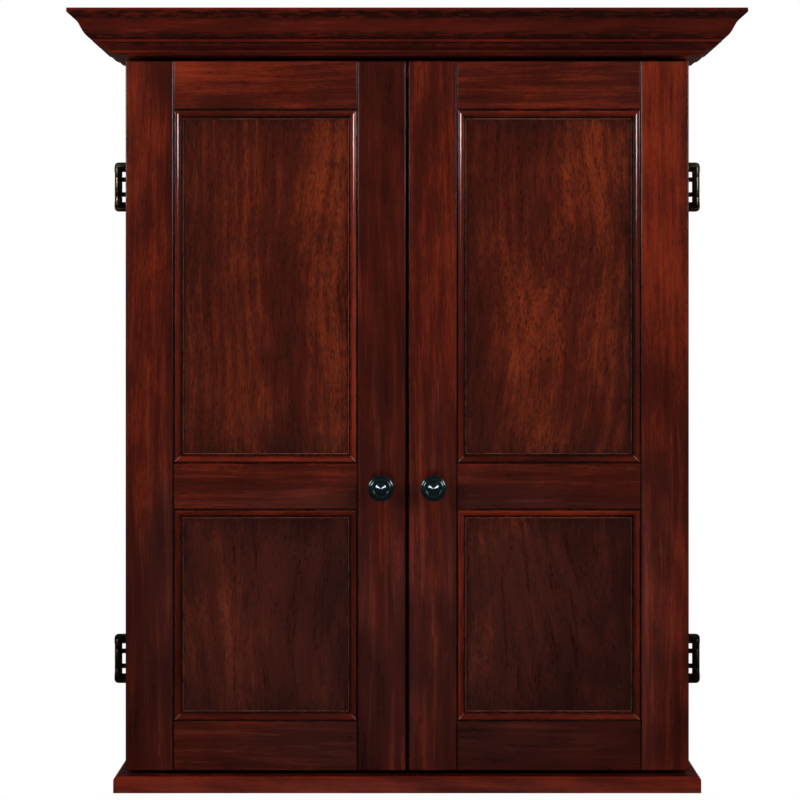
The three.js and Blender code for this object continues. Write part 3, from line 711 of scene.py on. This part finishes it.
def add_bead(tree, side, place):
    """Four mitred lengths of bead round one opening."""
    node = f"{side}_{place}_bead"
    low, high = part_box(node)
    face_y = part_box(f"{side}_outer_stile")[0].y
    down = Vector((0, 1, 0))
    gap = 0.03 * MM
    mitre_highlight_reach = 0.6 * MM  # how far the painted highlight along the lower mitres reaches
    corners = {"low_left": Vector((low.x, face_y, low.z)),
               "low_right": Vector((high.x, face_y, low.z)),
               "high_right": Vector((high.x, face_y, high.z)),
               "high_left": Vector((low.x, face_y, high.z))}
    members = (
        ("bottom", "low_left", "low_right", Vector((0, 0, 1)), LYING),
        ("right", "low_right", "high_right", Vector((-1, 0, 0)), UPRIGHT),
        ("top", "high_right", "high_left", Vector((0, 0, -1)), LYING),
        ("left", "high_left", "low_left", Vector((1, 0, 0)), UPRIGHT),
    )
    outline = bead_outline()
    runs = []
    for label, first, last, inwards, axes in members:
        start, end = corners[first], corners[last]
        direction = (end - start).normalized()
        start, end = start + direction * gap, end - direction * gap
        section = flat_section(outline, start, inwards, down)
        mesh = run_tree(tree, section=section, start=start, run=end - start, outwards=inwards,
                        mitre_at_start=1.0, mitre_at_end=-1.0, wood=MOULDING_WOOD)
        bpy.data.objects.remove(section)
        cut_across(mesh, [(start + direction * mitre_highlight_reach, direction - inwards),
                          (end - direction * mitre_highlight_reach, direction + inwards)])
        runs.append((mesh, axes, f"{node}_{label}"))

    # Painted shading on the bead: a pale painted highlight along the lower mitres and on the
    # fillet by the panel; painted shade in the outer groove, the quirk and the foot of the slope.
    def glaze(at, normal):
        from_side = min(at.x - low.x, high.x - at.x) / MM
        from_end = min(at.z - low.z, high.z - at.z) / MM
        inwards = min(from_side, from_end)
        at_foot = at.z < (low.z + high.z) / 2
        if at_foot and abs(from_side - from_end) < 0.5 and 1.1 < inwards < 7:
            return -0.8
        if inwards < 1.35 or 7.3 < inwards < 8.8:
            return 1.6
        if inwards >= 8.8:
            return -0.15
        return 0.45 if 5.5 < inwards <= 7.4 else 0.0
    obj = join_runs(node + "_moulding", runs, MOULDING_WOOD, glaze)
    place_piece(obj, body_of_side(side), "mahogany_frame", node)


# ---- Knobs -----------------------------------------------------------------------------------

def revolve(profile, centre, segments):
    """Turns (radius, out) points, in mm, round the Y axis through centre; out is towards -Y."""
    bm = bmesh.new()
    rings = []
    for radius, out in profile:
        y = centre.y - out * MM
        if radius == 0:
            rings.append([bm.verts.new((centre.x, y, centre.z))])
            continue
        ring = []
        for i in range(segments):
            turn = 2 * math.pi * i / segments
            x = centre.x + radius * MM * math.cos(turn)
            z = centre.z + radius * MM * math.sin(turn)
            ring.append(bm.verts.new((x, y, z)))
        rings.append(ring)
    for lower, upper in zip(rings, rings[1:]):
        for i in range(segments):
            j = (i + 1) % segments
            if len(lower) == 1:
                bm.faces.new((lower[0], upper[j], upper[i]))
            elif len(upper) == 1:
                bm.faces.new((lower[i], lower[j], upper[0]))
            else:
                bm.faces.new((lower[i], lower[j], upper[j], upper[i]))
    bmesh.ops.recalc_face_normals(bm, faces=bm.faces)
    return bm


def knob_profile():
    """Foot, neck, mushroom head with two rolled rings, a groove and a pointed boss."""
    points = [(0, 0), (7.9, 0), (8.5, 0.5), (8.5, 1.1), (7.9, 1.8)]
    points += bezier((7.9, 1.8), (5.4, 2.6), (5.0, 4.0), (4.9, 6.5), 8)
    points += bezier((4.9, 6.5), (5.0, 10.5), (8.6, 12.4), (11.0, 13.4), 10)
    points += bezier((11.0, 13.4), (12.6, 14.0), (13.6, 14.6), (13.6, 15.8), 6)
    points += bezier((13.6, 15.8), (13.6, 16.9), (13.0, 17.6), (12.0, 18.0), 10)
    points += [(11.75, 17.4), (11.35, 17.4)]
    points += bezier((11.35, 17.4), (11.1, 18.7), (10.4, 19.2), (9.4, 19.5), 10)
    points += bezier((9.4, 19.5), (8.7, 19.6), (8.1, 19.6), (7.7, 19.3), 4)
    points += [(7.35, 18.8), (6.95, 18.8)]
    points += bezier((6.95, 18.8), (6.6, 19.5), (6.0, 20.1), (5.2, 20.5), 6)
    points += bezier((5.2, 20.5), (3.8, 21.2), (1.4, 22.5), (0.25, 23.1), 8)
    points += [(0, 23.2)]
    return points


def add_knob(side):
    """One turned and plated knob on the door's inner stile."""
    node = f"{side}_knob"
    low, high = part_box(node)
    centre = Vector(((low.x + high.x) / 2, high.y, (low.z + high.z) / 2))
    bm = revolve(knob_profile(), centre, 96)
    mesh = bpy.data.meshes.new(node)
    bm.to_mesh(mesh)
    bm.free()
    shade_by_angle(mesh, 50)
    obj = new_object(node + "_turned", mesh, BLACK_NICKEL)
    place_piece(obj, body_of_side(side), "dark_bronze", node)


# ---- Screws ----------------------------------------------------------------------------------

def screw_head(radius, height):
    """A low domed screw head with a cross recess, facing +Z and standing on the origin."""
    bm = bmesh.new()
    segments = 24
    profile = [(1.0, 0.0), (1.0, 0.25), (0.9, 0.62), (0.66, 0.88), (0.5, 0.95)]
    rings = []
    for share, rise in profile:
        ring = []
        for i in range(segments):
            turn = 2 * math.pi * i / segments
            point = (radius * share * math.cos(turn), radius * share * math.sin(turn),
                     height * rise)
            ring.append(bm.verts.new(point))
        rings.append(ring)
    bm.faces.new(rings[0][::-1])
    for lower, upper in zip(rings, rings[1:]):
        for i in range(segments):
            j = (i + 1) % segments
            bm.faces.new((lower[i], lower[j], upper[j], upper[i]))
    # The recess: a cross of four arms, sunk to a point in the middle.
    inner = []
    for i in range(segments):
        turn = 2 * math.pi * i / segments
        arm = abs(math.cos(2 * turn)) ** 6
        reach = radius * (0.12 + 0.34 * arm)
        inner.append(bm.verts.new((reach * math.cos(turn), reach * math.sin(turn),
                                   height * 0.92)))
    floor = bm.verts.new((0, 0, height * 0.25))
    for i in range(segments):
        j = (i + 1) % segments
        bm.faces.new((rings[-1][i], rings[-1][j], inner[j], inner[i]))
        bm.faces.new((inner[i], inner[j], floor))
    mesh = bpy.data.meshes.new("screw_head")
    bm.to_mesh(mesh)
    bm.free()
    shade_by_angle(mesh, 40)
    head = bpy.data.objects.new("screw_head", mesh)
    bpy.context.scene.collection.objects.link(head)
    return head


def screw_row_tree():
    """Sets screws in a straight row, each turned a little differently in its hole."""
    tree = bpy.data.node_groups.new("screw_row", "GeometryNodeTree")
    sockets = tree.interface
    for name, kind in (("Screw", "NodeSocketObject"), ("Count", "NodeSocketInt"),
                       ("First", "NodeSocketVector"), ("Step", "NodeSocketVector"),
                       ("Facing", "NodeSocketVector"), ("Seed", "NodeSocketInt"),
                       ("Metal", "NodeSocketMaterial")):
        sockets.new_socket(name, in_out="INPUT", socket_type=kind)
    sockets.new_socket("Geometry", in_out="OUTPUT", socket_type="NodeSocketGeometry")
    given = add_node(tree, "NodeGroupInput").outputs
    line = add_node(tree, "GeometryNodeMeshLine",
                    {"Count": given["Count"], "Start Location": given["First"],
                     "Offset": given["Step"]}).outputs[0]
    screw = add_node(tree, "GeometryNodeObjectInfo", {"Object": given["Screw"]})
    spin = add_node(tree, "FunctionNodeRandomValue", {2: 0.0, 3: math.pi, "Seed": given["Seed"]},
                    data_type="FLOAT").outputs[1]
    turned = add_node(tree, "ShaderNodeCombineXYZ", {0: 0.0, 1: 0.0, 2: spin}).outputs[0]
    facing = add_node(tree, "FunctionNodeAlignEulerToVector", {"Vector": given["Facing"]},
                      axis="Z").outputs[0]
    rotation = add_node(tree, "FunctionNodeRotateEuler", {0: facing, 1: turned}, space="LOCAL")
    placed = add_node(tree, "GeometryNodeInstanceOnPoints",
                      {"Points": line, "Instance": screw.outputs["Geometry"],
                       "Rotation": rotation.outputs[0]}).outputs[0]
    real = add_node(tree, "GeometryNodeRealizeInstances", {0: placed}).outputs[0]
    painted = add_node(tree, "GeometryNodeSetMaterial",
                       {"Geometry": real, "Material": given["Metal"]}).outputs[0]
    add_node(tree, "NodeGroupOutput", {0: painted})
    return tree


def add_screws(tree, name, body, metal, rows, radius, height):
    """Rows of screws on one body, joined into one piece. A row is a count, a first place, a
    step and the way the heads face."""
    head = screw_head(radius, height)
    bm = bmesh.new()
    for seed, (count, first, step, facing) in enumerate(rows):
        mesh = run_tree(tree, screw=head, count=count, first=first, step=step, facing=facing,
                        seed=seed, metal=metal)
        bm.from_mesh(mesh)
    joined = bpy.data.meshes.new(name)
    bm.to_mesh(joined)
    bm.free()
    bpy.data.objects.remove(head)
    shade_by_angle(joined, 40)
    obj = new_object(name, joined, metal)
    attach(obj, body)


# ---- Fittings --------------------------------------------------------------------------------

def add_plain_copies():
    """Pressed, moulded and cut fittings: the CAD shape with its edges softened."""
    pieces = [("board_bracket", "cabinet", "zinc_steel", ZINC_STEEL, 0.25 * MM)]
    for side in SIDES:
        door = body_of_side(side)
        pieces += [(f"{side}_magnet_catch", "cabinet", "brown_plastic", BROWN_PLASTIC, 0.4 * MM),
                   (f"{side}_strike_plate", door, "zinc_steel", ZINC_STEEL, 0.2 * MM),
                   (f"{side}_scoreboard", door, "chalk_slate", CHALK_SLATE, 0.3 * MM)]
        for place in ("upper", "lower"):
            hinge = f"{side}_{place}_hinge"
            pieces += [(hinge + "_door_leaf", door, "dark_bronze", ANTIQUE_BRONZE, 0.2 * MM),
                       (hinge + "_case_leaf", "cabinet", "dark_bronze", ANTIQUE_BRONZE,
                        0.2 * MM)]
    for node, body, slot, material, bevel in pieces:
        mesh = clean_copy(node, bevel)
        shade_by_angle(mesh)
        place_piece(new_object(node + "_finished", mesh, material), body, slot, node)
    for side in SIDES:
        node = f"{side}_dart_rack"
        mesh = clean_copy(node, 0.4 * MM)
        shade_by_angle(mesh)
        mark_grain(mesh, LYING, node)
        obj = new_object(node + "_wood", mesh, FRAME_WOOD)
        place_piece(obj, body_of_side(side), "mahogany_frame", node)


def finish_cad_nodes():
    """CAD pieces whose shape is right as it is get their real finish."""
    for name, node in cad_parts.items():
        material = None
        if name.endswith("_hinge_pin"):
            material = ANTIQUE_BRONZE
        if name.endswith("_knob_screw"):
            material = ZINC_STEEL
        if material:
            node.data.materials.clear()
            node.data.materials.append(material)


def add_all_screws(tree):
    """The screws of the board's bracket, the dart racks and the catches' strike plates."""
    forward = Vector((0, -1, 0))
    backward = Vector((0, 1, 0))
    low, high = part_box("board_bracket")
    foot_y = high.y - 2 * MM
    rows = []
    for sign in SIDES.values():
        first = Vector((sign * 35 * MM, foot_y, low.z + 12 * MM))
        rows.append((2, first, Vector((0, 0, high.z - low.z - 24 * MM)), forward))
    add_screws(tree, "bracket_screws", "cabinet", ZINC_STEEL, rows,
               3.6 * MM, 1.8 * MM)
    for side, sign in SIDES.items():
        low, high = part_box(f"{side}_dart_rack")
        middle_x = (low.x + high.x) / 2
        rack_face = low.y + 7 * MM
        first = Vector((middle_x - 48 * MM, rack_face, low.z + 13 * MM))
        rows = [(2, first, Vector((96 * MM, 0, 0)), backward)]
        low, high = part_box(f"{side}_strike_plate")
        first = Vector((low.x + 6 * MM, high.y, (low.z + high.z) / 2))
        rows.append((2, first, Vector((high.x - low.x - 12 * MM, 0, 0)), backward))
        add_screws(tree, f"{side}_door_screws", body_of_side(side), ZINC_STEEL,
                   rows, 2.6 * MM, 1.0 * MM)


# ---- Stage and light -------------------------------------------------------------------------

def add_floor():
    """A plain pale studio floor, well below the hanging cabinet. It glows a little, to stay pale
    far from the lights, and neither lights the cabinet nor shows in its gloss."""
    size = 2.6
    height = -1.3
    mesh = bpy.data.meshes.new("floor")
    corners = [(-size, -size, height), (size, -size, height), (size, size, height),
               (-size, size, height)]
    mesh.from_pydata(corners, [], [(0, 1, 2, 3)])
    material, _, shader = new_material("pale_studio_floor")
    pale = linear("#d6d5d2")
    shader.inputs["Base Color"].default_value = pale
    shader.inputs["Roughness"].default_value = 0.9
    shader.inputs["Emission Color"].default_value = pale
    shader.inputs["Emission Strength"].default_value = 0.35
    floor = new_object("floor", mesh, material)
    floor.visible_glossy = False
    floor.visible_diffuse = False


def add_softbox(name, place, aim, size, power, spread, mirrored=True):
    """A rectangular light aimed at a place; mirrored says whether glossy things reflect it."""
    data = bpy.data.lights.new(name, "AREA")
    data.shape = "RECTANGLE"
    data.size, data.size_y = size
    data.energy = power
    data.spread = math.radians(spread)
    light = bpy.data.objects.new(name, data)
    light.location = place
    light.rotation_euler = (Vector(aim) - Vector(place)).to_track_quat("-Z", "Y").to_euler()
    light.visible_glossy = mirrored
    bpy.context.scene.collection.objects.link(light)


def add_lights():
    """Two softboxes high at the front, left and right, and weak fills on the other sides."""
    add_softbox("left_softbox", (-2.0, -1.6, 0.85), (0, 0, 0.35), (0.4, 0.8), 9.5, 80)
    add_softbox("right_softbox", (2.0, -1.6, 0.85), (0, 0, 0.35), (0.4, 0.8), 10, 80)
    add_softbox("front_fill", (0, -2.6, -0.7), (0, 0, 0.5), (1.0, 0.6), 3, 50, False)
    add_softbox("left_fill", (-1.9, 0.5, -0.5), (-0.3, 0, 0.2), (0.8, 0.8), 12, 90, False)
    add_softbox("right_fill", (1.9, 0.5, -0.5), (0.3, 0, 0.2), (0.8, 0.8), 12, 90, False)
    add_softbox("back_fill", (0.6, 2.2, 0.8), (0, 0, 0), (1.0, 1.0), 14, 90, False)
    add_softbox("top_fill", (0, 0.2, 2.6), (0, 0.2, 0), (3.0, 3.0), 60, 180, False)


def add_world():
    """A dim room; the sweep that shows behind the cabinet is plain white."""
    world = bpy.data.worlds.new("studio")
    world.use_nodes = True
    tree = world.node_tree
    tree.nodes.clear()
    seen = add_node(tree, "ShaderNodeLightPath").outputs["Is Camera Ray"]
    colour = add_node(tree, "ShaderNodeMix", {0: seen, 6: (0.022, 0.022, 0.023, 1),
                                              7: (1, 1, 1, 1)}, data_type="RGBA").outputs[2]
    background = add_node(tree, "ShaderNodeBackground", {0: colour, 1: 1.0}).outputs[0]
    add_node(tree, "ShaderNodeOutputWorld", {0: background})
    bpy.context.scene.world = world


# ---- Assembly --------------------------------------------------------------------------------

add_camera()
moulding = moulding_tree()
screw_row = screw_row_tree()
add_case_boards()
add_base_board()
add_crown(moulding)
for side in SIDES:
    add_door_boards(side)
    for place in ("upper", "lower"):
        add_panel(side, place)
        add_bead(moulding, side, place)
    add_knob(side)
add_plain_copies()
finish_cad_nodes()
add_all_screws(screw_row)
add_floor()
add_lights()
add_world()
bpy.context.scene.view_settings.view_transform = "Standard"
